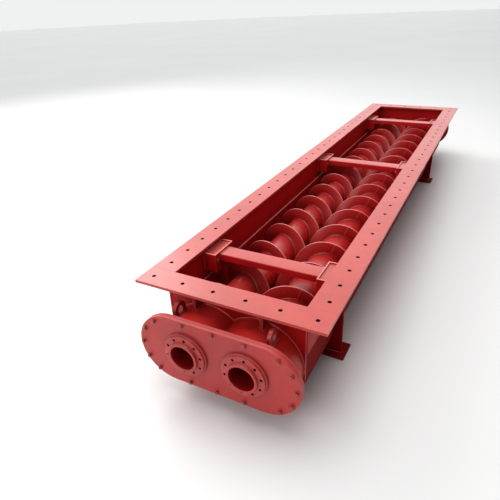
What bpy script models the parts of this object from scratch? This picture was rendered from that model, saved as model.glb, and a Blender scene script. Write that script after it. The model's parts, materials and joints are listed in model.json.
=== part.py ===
"""Open twin-screw conveyor on four short legs.

Frame: metres, +Z up, +Y along the screws. The origin is on the floor, under
the middle of the machine. The seen end, with its bolted end plate, is at -Y.
"""
import bpy
import bmesh
import math
from mathutils import Vector

# ------------------------------------------------------------ main dimensions
LENGTH = 4.570          # top flange frame, end to end
WIDTH = 1.000           # top flange frame, side to side
HEIGHT = 0.560          # floor to flange top
GAP = 0.0003            # working gap between touching pieces

BAR_W = 0.142           # flange bar width
BAR_T = 0.016           # flange bar thickness
HOLE_R = 0.009          # flange hole radius
HOLE_EDGE_X = 0.066     # hole line to the flange side edge
HOLE_EDGE_Y = 0.068     # hole line to the flange end edge
SIDE_PITCHES = 30       # equal hole pitches along each side
END_PITCHES = 5         # equal hole pitches across each end

AXIS_X = 0.158          # screw axis to the centre plane
AXIS_Z = HEIGHT - 0.274
PLATE = 0.008           # trough, wall and shroud plate
TROUGH_X = 0.372        # outer face of the trough's upright sides
CORNER_R = 0.135        # outer radius of its rounded lower corners
CORNER_Z = HEIGHT - 0.390
BED_R = AXIS_Z - CORNER_Z + CORNER_R    # outer radius of the bed under a screw
LEDGE_Z = HEIGHT - 0.195        # top edge of the trough plate
SKIRT_LAP = 0.040               # the side walls lap over the trough by this
END_WALL_Y = 0.100              # end wall, from the end of the frame

SHROUD_R = 0.222        # outer radius of the two arches of the shroud
SHROUD_X = 0.143        # centres of its arches
SHROUD_Z = HEIGHT - 0.332
SHROUD_CORNER_R = 0.108         # outer radius of its lower corners
PLATE_Z = HEIGHT - 0.279        # centre line of the end plate
SHROUD_END = -0.064     # front end of the shroud, from the end of the frame
RING_T = 0.0155         # flange welded on the shroud
COVER_T = 0.018         # bolted end plate
OBR_X = 0.242           # centres of the round ends of the end plate
OBR_R = 0.190
BORE_R = 0.066
BUSH_R = 0.079
STEP1_R, STEP1_T = 0.119, 0.010
STEP2_R, STEP2_T = 0.111, 0.010
LIP_T = 0.016
BUSH_IN = 0.030         # inner end of the bush, from the end of the frame

SHAFT_R = 0.097
JOURNAL_R = 0.0645
JOURNAL_END = 0.000
SHAFT_END = 0.036
FLIGHT_R = 0.172
FLIGHT_T = 0.008
PITCH = 0.266
FLIGHT_START = 0.165    # end of each flighting, from the end of the frame
SEG_PER_TURN = 18
PHASE_RIGHT = 0.404     # where the right flighting is at the top, from the end
PHASE_LEFT = PHASE_RIGHT + PITCH / 2    # half a pitch on, so the flights mesh

BRACE_Y = (0.519, 2.350, 3.942)
BRACE_W = 0.100
BRACE_H = 0.040
BRACE_T = 0.006
BRACE_TOP = HEIGHT - 0.046
BRACKET_IN = 0.294      # inner face of the brackets
BRACKET_L = 0.194
BRACKET_TOP = HEIGHT - 0.034
BRACKET_H = 0.112
BRACKET_RIM = 0.009
BRACKET_DIP = 0.008

LEG_Y = (0.535, 3.550)
LEG_T = 0.015
LEG_OUT = 0.416
FOOT_T = 0.012
FOOT_X = (0.200, 0.445)
FOOT_L = 0.140
FOOT_SHIFT = 0.0175     # foot plate centre behind its leg, towards mid-length

LUG_X = 0.250
LUG_T = 0.018
LUG_Y = 0.006
LUG_R = 0.044
LUG_HOLE_R = 0.019
LUG_HOLE_Z = HEIGHT - 0.106
GUSSET_X = 0.180
GUSSET_T = 0.016
GUSSET_Y = 0.034

RED = (0.42, 0.018, 0.020, 1.0)


# ------------------------------------------------------------------- helpers
def wy(y):
    """World Y of a distance measured from the seen end of the flange frame."""
    return y - LENGTH / 2


for old in list(bpy.data.objects):
    bpy.data.objects.remove(old, do_unlink=True)


def material(name, shade=1.0, rough=0.38, metal=0.0):
    mat = bpy.data.materials.new(name)
    mat.use_nodes = True
    bsdf = mat.node_tree.nodes["Principled BSDF"]
    bsdf.inputs["Base Color"].default_value = (
        RED[0] * shade, RED[1] * shade, RED[2] * shade, 1.0)
    bsdf.inputs["Roughness"].default_value = rough
    bsdf.inputs["Metallic"].default_value = metal
    mat.diffuse_color = bsdf.inputs["Base Color"].default_value
    return mat


def add(name, bm, shade=1.0, rough=0.38, smooth=None):
    """Turn a bmesh into an object with its own material."""
    bmesh.ops.recalc_face_normals(bm, faces=bm.faces[:])
    mesh = bpy.data.meshes.new(name)
    bm.to_mesh(mesh)
    bm.free()
    obj = bpy.data.objects.new(name, mesh)
    bpy.context.collection.objects.link(obj)
    mesh.materials.append(material(name + "_paint", shade, rough))
    if smooth:
        mesh.shade_smooth()
        mesh.set_sharp_from_angle(angle=math.radians(smooth))
    return obj


def box_bm(lo, hi):
    bm = bmesh.new()
    bmesh.ops.create_cube(bm, size=1.0)
    c = [(a + b) / 2 for a, b in zip(lo, hi)]
    d = [b - a for a, b in zip(lo, hi)]
    bmesh.ops.scale(bm, vec=Vector(d), verts=bm.verts)
    bmesh.ops.translate(bm, vec=Vector(c), verts=bm.verts)
    return bm


def prism_bm(outline, axis, lo, hi):
    """Extrude a closed outline. axis 1: outline is (x, z). axis 0: (y, z)."""
    bm = bmesh.new()
    if axis == 1:
        verts = [bm.verts.new((a, lo, b)) for a, b in outline]
        step = Vector((0, hi - lo, 0))
    elif axis == 0:
        verts = [bm.verts.new((lo, a, b)) for a, b in outline]
        step = Vector((hi - lo, 0, 0))
    else:
        verts = [bm.verts.new((a, b, lo)) for a, b in outline]
        step = Vector((0, 0, hi - lo))
    face = bm.faces.new(verts)
    res = bmesh.ops.extrude_face_region(bm, geom=[face])
    moved = [v for v in res["geom"] if isinstance(v, bmesh.types.BMVert)]
    bmesh.ops.translate(bm, vec=step, verts=moved)
    return bm


def rod_bm(centre, radius, axis, lo, hi, segs, turn=0.0):
    """Round rod along an axis; centre holds the other two coordinates."""
    pts = [(centre[0] + radius * math.cos(turn + 2 * math.pi * i / segs),
            centre[1] + radius * math.sin(turn + 2 * math.pi * i / segs))
           for i in range(segs)]
    return prism_bm(pts, axis, lo, hi)


def merge_bm(parts):
    """Put several separate closed shells in one bmesh (used for cutters)."""
    out = bmesh.new()
    for bm in parts:
        tmp = bpy.data.meshes.new("tmp")
        bmesh.ops.recalc_face_normals(bm, faces=bm.faces[:])
        bm.to_mesh(tmp)
        bm.free()
        out.from_mesh(tmp)
        bpy.data.meshes.remove(tmp)
    return out


def turned_bm(profile, x, z, segs):
    """Spin a closed (radius, y) profile round the Y line through x, z."""
    bm = bmesh.new()
    verts = [bm.verts.new((r, y, 0.0)) for r, y in profile]
    edges = [bm.edges.new((verts[i], verts[(i + 1) % len(verts)]))
             for i in range(len(verts))]
    bmesh.ops.spin(bm, geom=verts + edges, cent=(0, 0, 0), axis=(0, 1, 0),
                   angle=2 * math.pi, steps=segs, use_merge=True)
    bmesh.ops.remove_doubles(bm, verts=bm.verts, dist=0.00001)
    bmesh.ops.translate(bm, vec=Vector((x, 0, z)), verts=bm.verts)
    return bm


def boolean(obj, bm, mode):
    """Cut or join with an EXACT Boolean and keep the result as the mesh."""
    bmesh.ops.recalc_face_normals(bm, faces=bm.faces[:])
    mesh = bpy.data.meshes.new("cutter")
    bm.to_mesh(mesh)
    bm.free()
    tool = bpy.data.objects.new("cutter", mesh)
    tool.hide_render = True
    tool.display_type = 'WIRE'
    bpy.context.collection.objects.link(tool)
    mod = obj.modifiers.new("boolean", 'BOOLEAN')
    mod.operation = mode
    mod.solver = 'EXACT'
    mod.object = tool
    bpy.context.view_layer.update()
    deps = bpy.context.evaluated_depsgraph_get()
    new = bpy.data.meshes.new_from_object(obj.evaluated_get(deps))
    obj.modifiers.remove(mod)
    old = obj.data
    obj.data = new
    bpy.data.meshes.remove(old)
    bpy.data.objects.remove(tool, do_unlink=True)
    bpy.data.meshes.remove(mesh)
    return obj


def cut(obj, bm):
    return boolean(obj, bm, 'DIFFERENCE')


def join(obj, bm):
    return boolean(obj, bm, 'UNION')


def arc(cx, cz, r, a0, a1, n):
    """n + 1 points on an arc, angles in degrees from +X towards +Z."""
    return [(cx + r * math.cos(math.radians(a0 + (a1 - a0) * i / n)),
             cz + r * math.sin(math.radians(a0 + (a1 - a0) * i / n)))
            for i in range(n + 1)]


def origin_to(obj, point):
    """Move the object's origin without moving its mesh in the world."""
    p = Vector(point)
    for v in obj.data.vertices:
        v.co -= p
    obj.location = p


ENDS = (("front", 1.0), ("rear", -1.0))
SIDES = (("left", -1.0), ("right", 1.0))


def span(end, a, b):
    """World Y range of two distances measured inwards from the named end."""
    if end > 0:
        return (wy(a), wy(b))
    return (-wy(b), -wy(a))


# --------------------------------------------------------- top flange frame
z0, z1 = HEIGHT - BAR_T, HEIGHT
hole_x = WIDTH / 2 - HOLE_EDGE_X
side_pitch = (LENGTH - 2 * HOLE_EDGE_Y) / SIDE_PITCHES
end_pitch = 2 * hole_x / END_PITCHES
for end_name, end in ENDS:
    ya, yb = span(end, 0.0, BAR_W)
    bar = add("flange_bar_" + end_name,
              box_bm((-WIDTH / 2, ya, z0), (WIDTH / 2, yb, z1)))
    yh = wy(HOLE_EDGE_Y) * end
    cut(bar, merge_bm([rod_bm((-hole_x + k * end_pitch, yh), HOLE_R, 2,
                              z0 - 0.01, z1 + 0.01, 8, math.pi / 8)
                       for k in range(END_PITCHES + 1)]))
for side_name, side in SIDES:
    xa, xb = sorted((side * (WIDTH / 2 - BAR_W), side * WIDTH / 2))
    ya = wy(BAR_W + GAP)
    bar = add("flange_bar_" + side_name, box_bm((xa, ya, z0), (xb, -ya, z1)))
    cut(bar, merge_bm([rod_bm((side * hole_x, wy(HOLE_EDGE_Y + k * side_pitch)),
                              HOLE_R, 2, z0 - 0.01, z1 + 0.01, 8, math.pi / 8)
                       for k in range(1, SIDE_PITCHES)]))

# ------------------------------------------------------- walls and twin trough
wall_top = HEIGHT - BAR_T - GAP
skirt_in = TROUGH_X + GAP
skirt_out = skirt_in + PLATE
skirt_low = LEDGE_Z - SKIRT_LAP
run = (wy(END_WALL_Y + PLATE + GAP), -wy(END_WALL_Y + PLATE + GAP))
for side_name, side in SIDES:
    xa, xb = sorted((side * skirt_in, side * skirt_out))
    add("side_wall_" + side_name,
        box_bm((xa, wy(END_WALL_Y), skirt_low),
               (xb, -wy(END_WALL_Y), wall_top)), 0.9)

def bed(x, r_corner, r_bed, middle):
    """Half outline of the trough, from its upright side to the middle ridge."""
    a = math.degrees(math.acos((AXIS_X - middle) / r_bed))
    return (arc(x - r_corner, CORNER_Z, r_corner, 0, -90, 9)
            + arc(AXIS_X, AXIS_Z, r_bed, -90, -(180 - a), 7))


half_gap = GAP / 2
for side_name, side in SIDES:
    outer = bed(TROUGH_X, CORNER_R, BED_R, half_gap)
    inner = bed(TROUGH_X - PLATE, CORNER_R - PLATE, BED_R - PLATE, half_gap)
    ring = ([(TROUGH_X, LEDGE_Z)] + outer + list(reversed(inner))
            + [(TROUGH_X - PLATE, LEDGE_Z)])
    add("trough_" + side_name,
        prism_bm([(side * x, z) for x, z in ring], 1, run[0], run[1]),
        0.8, smooth=30)

for end_name, end in ENDS:
    half = [(TROUGH_X - GAP, wall_top)] + bed(TROUGH_X - GAP, CORNER_R - GAP,
                                              BED_R - GAP, 0.0)
    outline = half + [(-x, z) for x, z in reversed(half[:-1])]
    ya, yb = span(end, END_WALL_Y, END_WALL_Y + PLATE)
    wall = add("end_wall_" + end_name, prism_bm(outline, 1, ya, yb), 0.9)
    cut(wall, merge_bm([rod_bm((s * AXIS_X, AXIS_Z), SHAFT_R + 0.008, 1,
                               ya - 0.01, yb + 0.01, 24) for _, s in SIDES]))


# --------------------------------- twin-arched shroud, end flange, end plate, bushes
def shroud_outline(inset):
    """Closed outline of the twin-arched shroud, a distance inside its face."""
    r = SHROUD_R - inset
    corner = SHROUD_X + SHROUD_R - SHROUD_CORNER_R
    a = math.degrees(math.acos(SHROUD_X / r))
    low = arc(corner, SHROUD_Z, SHROUD_CORNER_R - inset, -90, 0, 8)
    top = arc(SHROUD_X, SHROUD_Z, r, 0, 180 - a, 16)
    half = low + top[1:]
    return half + [(-x, z) for x, z in reversed(half[:-1])]


def obround(cx, cz, r, n):
    return arc(cx, cz, r, -90, 90, n) + arc(-cx, cz, r, 90, 270, n)


for end_name, end in ENDS:
    # shroud: two arches run together, open at both ends
    ya, yb = span(end, SHROUD_END + GAP, END_WALL_Y - GAP)
    shroud = add("shroud_" + end_name,
                 prism_bm(shroud_outline(0.0), 1, ya, yb), smooth=40)
    cut(shroud, prism_bm(shroud_outline(PLATE), 1,
                         ya - 0.01, yb + 0.01))
    # flange on the shroud
    ya, yb = span(end, SHROUD_END - RING_T, SHROUD_END)
    ring = add("end_flange_" + end_name,
               prism_bm(obround(OBR_X, PLATE_Z, OBR_R, 16), 1, ya, yb),
               smooth=30)
    cut(ring, prism_bm(shroud_outline(PLATE), 1,
                       ya - 0.01, yb + 0.01))
    # bolted end plate with two bores for the bushes
    cover_in = SHROUD_END - RING_T - GAP
    face = cover_in - COVER_T
    ya, yb = span(end, face, cover_in)
    cover = add("end_plate_" + end_name,
                prism_bm(obround(OBR_X, PLATE_Z, OBR_R, 16), 1, ya, yb),
                1.0, smooth=30)
    cut(cover, merge_bm([rod_bm((s * AXIS_X, AXIS_Z), BUSH_R + GAP, 1,
                                ya - 0.01, yb + 0.01, 24)
                         for _, s in SIDES]))
    # flanged shaft bushes, stepped ring in front and sleeve behind
    f = face - GAP
    prof = [(BORE_R, BUSH_IN), (BUSH_R, BUSH_IN), (BUSH_R, f), (STEP1_R, f),
            (STEP1_R, f - STEP1_T), (STEP2_R, f - STEP1_T),
            (STEP2_R, f - STEP1_T - STEP2_T), (BUSH_R, f - STEP1_T - STEP2_T),
            (BUSH_R, f - STEP1_T - STEP2_T - LIP_T),
            (BORE_R, f - STEP1_T - STEP2_T - LIP_T)]
    for side_name, side in SIDES:
        add("seal_flange_%s_%s" % (end_name, side_name),
            turned_bm([(r, end * wy(y)) for r, y in prof],
                      side * AXIS_X, AXIS_Z, 24), 1.0, smooth=30)

# ------------------------------------------------ lifting lugs and gussets
for end_name, end in ENDS:
    ya, yb = span(end, SHROUD_END, END_WALL_Y)
    for side_name, side in SIDES:
        yc = end * wy(LUG_Y)
        foot_z = PLATE_Z + 0.10
        outline = ([(yc + LUG_R + 0.006, foot_z)]
                   + arc(yc, LUG_HOLE_Z, LUG_R, 0, 180, 12)
                   + [(yc - LUG_R - 0.006, foot_z)])
        xc = side * LUG_X
        lug = add("lifting_lug_%s_%s" % (end_name, side_name),
                  prism_bm(outline, 0, xc - LUG_T / 2, xc + LUG_T / 2),
                  smooth=30)
        cut(lug, rod_bm((yc, LUG_HOLE_Z), LUG_HOLE_R, 0, xc - 0.03, xc + 0.03,
                        16))
        cut(lug, prism_bm(shroud_outline(-GAP), 1,
                          ya - 0.05, yb + 0.05))
        ga, gb = span(end, GUSSET_Y, END_WALL_Y - GAP)
        gx = side * GUSSET_X
        gus = add("gusset_%s_%s" % (end_name, side_name),
                  box_bm((gx - GUSSET_T / 2, ga, PLATE_Z + 0.15),
                         (gx + GUSSET_T / 2, gb, wall_top)))
        cut(gus, prism_bm(shroud_outline(-GAP), 1,
                          ya - 0.05, yb + 0.05))

# --------------------------------------------------- cross braces, brackets
NAMES = ("front", "middle", "rear")
for where, y in zip(NAMES, BRACE_Y):
    yc = wy(y)
    w, t, h = BRACE_W / 2, BRACE_T, BRACE_H
    top = BRACE_TOP
    channel = [(yc - w, top), (yc - w, top - h), (yc - w + t, top - h),
               (yc - w + t, top - t), (yc + w - t, top - t),
               (yc + w - t, top - h), (yc + w, top - h), (yc + w, top)]
    xe = BRACKET_IN - GAP
    add("brace_" + where, prism_bm(channel, 0, -xe, xe))
    for side_name, side in SIDES:
        xa, xb = sorted((side * BRACKET_IN, side * (skirt_in - GAP)))
        ya, yb = yc - BRACKET_L / 2, yc + BRACKET_L / 2
        brk = add("bracket_%s_%s" % (where, side_name),
                  box_bm((xa, ya, BRACKET_TOP - BRACKET_H),
                         (xb, yb, BRACKET_TOP)), 0.95)
        r = BRACKET_RIM
        cut(brk, box_bm((xa + r, ya + r, BRACKET_TOP - BRACKET_DIP),
                        (xb - r, yb - r, BRACKET_TOP + 0.01)))

# --------------------------------------------------------------------- legs
for where, y, shift in (("front", LEG_Y[0], 1.0), ("rear", LEG_Y[1], -1.0)):
    yc = wy(y)
    for side_name, side in SIDES:
        a_end = -80.0
        # the cradle's flats stay clear of the trough's corners
        r = (CORNER_R + GAP) / math.cos(math.radians(a_end / 24))
        cradle = arc(TROUGH_X - CORNER_R, CORNER_Z, r, 0, a_end, 12)
        outline = ([(LEG_OUT, wall_top), (skirt_out + GAP, wall_top),
                    (skirt_out + GAP, skirt_low - GAP),
                    (TROUGH_X + GAP, skirt_low - GAP)] + cradle
                   + [(cradle[-1][0], FOOT_T - 0.004),
                      (LEG_OUT, FOOT_T - 0.004)])
        leg = add("leg_%s_%s" % (where, side_name),
                  prism_bm([(side * x, z) for x, z in outline], 1,
                           yc - LEG_T / 2, yc + LEG_T / 2), 0.9)
        xa, xb = sorted((side * FOOT_X[0], side * FOOT_X[1]))
        fy = yc + shift * FOOT_SHIFT
        join(leg, box_bm((xa, fy - FOOT_L / 2, 0.0),
                         (xb, fy + FOOT_L / 2, FOOT_T)))


# ------------------------------------------------------------------- screws
def helix_bm(x, hand, y_top):
    """Flighting: a square-edged ribbon wound on the shaft, ends cut square.

    hand +1 moves towards +Y as the angle grows from +X towards +Z.
    """
    bm = bmesh.new()
    ya, yb = wy(FLIGHT_START), -wy(FLIGHT_START)
    # angle at which the ribbon centre is at each end
    turns = (yb - ya - FLIGHT_T) / PITCH
    steps = int(round(turns * SEG_PER_TURN))
    r0 = (SHAFT_R + GAP) / math.cos(math.pi / SEG_PER_TURN)
    r1 = FLIGHT_R
    prev = None
    first = None
    for i in range(steps + 1):
        y = ya + FLIGHT_T / 2 + (yb - ya - FLIGHT_T) * i / steps
        ang = math.pi / 2 + hand * 2 * math.pi * (y - wy(y_top)) / PITCH
        c, s = math.cos(ang), math.sin(ang)
        loop = [bm.verts.new((x + r * c, y + d, AXIS_Z + r * s))
                for r, d in ((r0, -FLIGHT_T / 2), (r1, -FLIGHT_T / 2),
                             (r1, FLIGHT_T / 2), (r0, FLIGHT_T / 2))]
        if prev:
            for k in range(4):
                m = (k + 1) % 4
                bm.faces.new((prev[k], prev[m], loop[m], loop[k]))
        else:
            first = loop
        prev = loop
    bm.faces.new(first)
    bm.faces.new(list(reversed(prev)))
    return bm


for side_name, side in SIDES:
    axis = bpy.data.objects.new("screw_axis_" + side_name, None)
    axis.location = (side * AXIS_X, 0.0, AXIS_Z)
    bpy.context.collection.objects.link(axis)
    ys, yj = wy(SHAFT_END), wy(JOURNAL_END)
    bm = rod_bm((side * AXIS_X, AXIS_Z), SHAFT_R, 1, ys, -ys, 24)
    shaft = add("shaft_" + side_name, bm, smooth=30)
    for e in (1, -1):
        a, b = sorted((e * yj, e * (ys + 0.02)))
        join(shaft, rod_bm((side * AXIS_X, AXIS_Z), JOURNAL_R, 1, a, b, 24))
    shaft.data.shade_smooth()
    shaft.data.set_sharp_from_angle(angle=math.radians(30))
    hand = -side
    y_top = PHASE_RIGHT if side > 0 else PHASE_LEFT
    flight = add("flighting_" + side_name,
                 helix_bm(side * AXIS_X, hand, y_top), 0.9, smooth=40)
    for o in (shaft, flight):
        origin_to(o, axis.location)
        o.location = (0, 0, 0)
        o.parent = axis
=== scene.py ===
import bpy
import bmesh
import json
import math
from mathutils import Matrix, Vector


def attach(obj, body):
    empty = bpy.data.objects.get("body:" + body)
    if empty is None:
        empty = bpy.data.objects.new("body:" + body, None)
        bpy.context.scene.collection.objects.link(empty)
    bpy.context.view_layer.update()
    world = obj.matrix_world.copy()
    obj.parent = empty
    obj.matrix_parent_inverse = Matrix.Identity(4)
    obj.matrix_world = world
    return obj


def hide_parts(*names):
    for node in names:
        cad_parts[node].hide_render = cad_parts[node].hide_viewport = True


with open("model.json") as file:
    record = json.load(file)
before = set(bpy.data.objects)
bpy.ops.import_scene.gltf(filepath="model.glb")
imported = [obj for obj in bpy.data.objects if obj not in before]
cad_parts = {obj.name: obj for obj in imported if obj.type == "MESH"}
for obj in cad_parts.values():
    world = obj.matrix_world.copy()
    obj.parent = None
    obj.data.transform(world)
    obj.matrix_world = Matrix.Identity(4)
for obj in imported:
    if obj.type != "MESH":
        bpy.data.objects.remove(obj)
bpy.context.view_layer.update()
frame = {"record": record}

# ---------------------------------------------------------------- dimensions
LENGTH, WIDTH, HEIGHT, GAP = 4.570, 1.000, 0.560, 0.0003
BAR_W, BAR_T, HOLE_R = 0.142, 0.016, 0.009
HOLE_X, HOLE_Y = WIDTH / 2 - 0.066, 0.068
SIDE_PITCHES, END_PITCHES = 30, 5
AXIS_X, AXIS_Z = 0.158, HEIGHT - 0.274
PLATE = 0.008
TROUGH_X, CORNER_R, CORNER_Z = 0.372, 0.135, HEIGHT - 0.390
BED_R = AXIS_Z - CORNER_Z + CORNER_R
LEDGE_Z, SKIRT_LAP, END_WALL_Y = HEIGHT - 0.195, 0.040, 0.100
SHROUD_R, SHROUD_X, SHROUD_Z = 0.222, 0.143, HEIGHT - 0.332
SHROUD_CORNER_R, SHROUD_END = 0.108, -0.064
PLATE_Z, RING_T, COVER_T, OBR_X, OBR_R = HEIGHT - 0.279, 0.0155, 0.018, 0.242, 0.190
BORE_R, BUSH_R = 0.066, 0.079
STEP1_R, STEP1_T, STEP2_R, STEP2_T = 0.119, 0.010, 0.111, 0.010
LIP_T, BUSH_IN = 0.016, 0.030
SHAFT_R, JOURNAL_R, JOURNAL_END, SHAFT_END = 0.097, 0.0645, 0.000, 0.036
FLIGHT_R, FLIGHT_T, PITCH, FLIGHT_START = 0.172, 0.008, 0.266, 0.165
PHASE_RIGHT = 0.404
PHASE_LEFT = PHASE_RIGHT + PITCH / 2
BRACE_Y = (0.519, 2.350, 3.942)
BRACE_W, BRACE_H, BRACE_T, BRACE_TOP = 0.100, 0.040, 0.006, HEIGHT - 0.046
BRACKET_IN, BRACKET_L, BRACKET_TOP = 0.294, 0.194, HEIGHT - 0.034
BRACKET_H, BRACKET_RIM, BRACKET_DIP = 0.112, 0.009, 0.008
LEG_Y, LEG_T, LEG_OUT = (0.535, 3.550), 0.015, 0.416
FOOT_T, FOOT_X, FOOT_L, FOOT_SHIFT = 0.012, (0.200, 0.445), 0.140, 0.0175
LUG_X, LUG_T, LUG_Y, LUG_R, LUG_HOLE_R = 0.250, 0.018, 0.006, 0.044, 0.019
LUG_HOLE_Z = HEIGHT - 0.106
GUSSET_X, GUSSET_T, GUSSET_Y = 0.180, 0.016, 0.034

ENDS = (("front", 1.0), ("rear", -1.0))
SIDES = (("left", -1.0), ("right", 1.0))
SKIRT_IN = TROUGH_X + GAP
SKIRT_OUT = SKIRT_IN + PLATE
SKIRT_LOW = LEDGE_Z - SKIRT_LAP
WALL_TOP = HEIGHT - BAR_T - GAP


def wy(y):
    return y - LENGTH / 2


def span(end, a, b):
    return (wy(a), wy(b)) if end > 0 else (-wy(b), -wy(a))


# ------------------------------------------------------------------ materials
def node(tree, kind, **values):
    n = tree.nodes.new(kind)
    for k, v in values.items():
        if k in n.inputs:
            n.inputs[k].default_value = v
        else:
            setattr(n, k, v)
    return n


def paint(name, base, rough=0.36, dust=0.10, edge=0.55, peel=1.0, corner_shade=0.35,
          coat=0.25, spec=0.5, reach=0.06, rim=(0.80, 0.33, 0.30), ior=1.5):
    """Brushed and sprayed red enamel over steel: cloudy colour, orange peel,
    paler edges that are partly wear and partly painted highlight, a little dust
    on top faces and painted shade in the corners."""
    mat = bpy.data.materials.new(name)
    mat.use_nodes = True
    t = mat.node_tree
    t.nodes.clear()
    out = node(t, "ShaderNodeOutputMaterial")
    bsdf = node(t, "ShaderNodeBsdfPrincipled")
    t.links.new(bsdf.outputs[0], out.inputs[0])
    bsdf.inputs["Metallic"].default_value = 0.0
    bsdf.inputs["IOR"].default_value = ior
    bsdf.inputs["Coat Weight"].default_value = coat
    bsdf.inputs["Coat Roughness"].default_value = 0.22
    bsdf.inputs["Specular IOR Level"].default_value = spec
    coord = node(t, "ShaderNodeTexCoord")
    where = coord.outputs["Object"]

    def noise(scale, detail=3.0, rough_=0.55, vec=None):
        n = node(t, "ShaderNodeTexNoise")
        n.inputs["Scale"].default_value = scale
        n.inputs["Detail"].default_value = detail
        n.inputs["Roughness"].default_value = rough_
        t.links.new(vec or where, n.inputs["Vector"])
        return n.outputs["Fac"]

    def ramp(fac, stops):
        n = node(t, "ShaderNodeValToRGB")
        els = n.color_ramp.elements
        while len(els) < len(stops):
            els.new(0.5)
        for e, (p, c) in zip(els, stops):
            e.position = p
            e.color = c if len(c) == 4 else (*c, 1.0)
        t.links.new(fac, n.inputs[0])
        return n.outputs["Color"]

    def mix(fac, a, b, mode="MIX"):
        n = node(t, "ShaderNodeMix", data_type="RGBA", blend_type=mode)
        for k, v in ((0, fac), (6, a), (7, b)):
            if isinstance(v, (int, float)):
                n.inputs[k].default_value = v
            elif isinstance(v, tuple):
                n.inputs[k].default_value = (*v, 1.0)
            else:
                t.links.new(v, n.inputs[k])
        return n.outputs[2]

    def maths(op, a, b=None, clamp=False):
        n = node(t, "ShaderNodeMath", operation=op)
        n.use_clamp = clamp
        for k, v in ((0, a), (1, b)):
            if v is None:
                continue
            if isinstance(v, (int, float)):
                n.inputs[k].default_value = v
            else:
                t.links.new(v, n.inputs[k])
        return n.outputs[0]

    dark = tuple(c * k for c, k in zip(base, (0.80, 0.70, 0.72)))
    light = tuple(min(1.0, c * k) for c, k in zip(base, (1.12, 1.30, 1.25)))
    cloud = ramp(noise(2.3, 4.0, 0.6), [(0.30, dark), (0.50, base), (0.72, light)])
    blotch = noise(17.0, 5.0, 0.65)
    tone = mix(0.35, cloud, ramp(blotch, [(0.30, dark), (0.62, light)]))

    # dust: a thin pale film on faces that look up, broken up by noise
    geo = node(t, "ShaderNodeNewGeometry")
    sep = node(t, "ShaderNodeSeparateXYZ")
    t.links.new(geo.outputs["Normal"], sep.inputs[0])
    up = maths("POWER", maths("MAXIMUM", sep.outputs[2], 0.0), 3.0)
    film = maths("MULTIPLY", up, maths("MULTIPLY", noise(5.0, 6.0, 0.7), dust * 1.7))
    tone = mix(film, tone, (0.74, 0.48, 0.43))

    # paler paint along the edges, partly wear and partly painted highlight where rounded
    # edges catch the light; rim is that pale colour
    bev = node(t, "ShaderNodeBevel")
    bev.samples = 4
    bev.inputs["Radius"].default_value = 0.0035
    dot = node(t, "ShaderNodeVectorMath", operation="DOT_PRODUCT")
    t.links.new(bev.outputs[0], dot.inputs[0])
    t.links.new(geo.outputs["True Normal"], dot.inputs[1])
    away = maths("SUBTRACT", 1.0, dot.outputs["Value"], True)
    worn_and_highlit_edge = maths("MULTIPLY", away, maths("ADD", noise(34.0, 4.0), 0.75))
    worn_and_highlit_edge = maths("MULTIPLY", worn_and_highlit_edge, edge * 4.0, True)
    tone = mix(worn_and_highlit_edge, tone, rim)

    # painted shade: ambient occlusion darkens the colour in corners, creases and recesses
    occ = node(t, "ShaderNodeAmbientOcclusion")
    occ.samples = 4
    occ.inputs["Distance"].default_value = reach
    shut = maths("SUBTRACT", 1.0, occ.outputs["AO"], True)
    tone = mix(maths("MULTIPLY", shut, corner_shade), tone,
               tuple(c * 0.22 for c in base))
    t.links.new(tone, bsdf.inputs["Base Color"])

    # gloss that drifts from place to place
    r = maths("MULTIPLY", noise(6.5, 5.0, 0.6), 0.22)
    r = maths("ADD", r, rough - 0.11)
    r = maths("ADD", r, maths("MULTIPLY", film, 0.9), True)
    t.links.new(r, bsdf.inputs["Roughness"])

    # orange peel and the long waves of rolled plate
    b1 = node(t, "ShaderNodeBump")
    b1.inputs["Strength"].default_value = 0.10 * peel
    b1.inputs["Distance"].default_value = 0.0012
    t.links.new(noise(210.0, 2.0, 0.5), b1.inputs["Height"])
    b2 = node(t, "ShaderNodeBump")
    b2.inputs["Strength"].default_value = 0.10 * peel
    b2.inputs["Distance"].default_value = 0.006
    t.links.new(noise(13.0, 3.0, 0.5), b2.inputs["Height"])
    t.links.new(b2.outputs[0], b1.inputs["Normal"])
    t.links.new(b1.outputs[0], bsdf.inputs["Normal"])
    mat.diffuse_color = (*base, 1.0)
    return mat


# corner_shade and reach set the painted shade from ambient occlusion in each paint:
# strongest on the walls, whose wide reach darkens the trough inside, and on the end plates,
# where it darkens the valley between the arches
MATS = {
    "frame_paint": paint("frame_enamel", (0.48, 0.023, 0.013), 0.37, 0.05, 0.50,
                         1.0, 0.70, 0.25, 0.50),
    # the wall red is the frame red made deeper and duller, a shaded copy: painted shade for
    # the trough inside and for the down and side faces of braces and brackets
    "wall_paint": paint("shaded_wall_enamel", (0.48, 0.008, 0.009), 0.42, 0.02, 0.40,
                        1.0, 0.82, 0.0, 0.30, 0.16, (0.66, 0.24, 0.22), 1.30),
    "end_paint": paint("end_enamel", (0.46, 0.022, 0.020), 0.44, 0.08, 0.45,
                       1.0, 0.85, 0.12, 0.44, 0.10, (0.72, 0.24, 0.22)),
    "screw_paint": paint("screw_enamel", (0.40, 0.010, 0.010), 0.33, 0.02, 0.50,
                         1.0, 0.72, 0.10, 0.34, 0.08, (0.74, 0.30, 0.28)),
}
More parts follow.
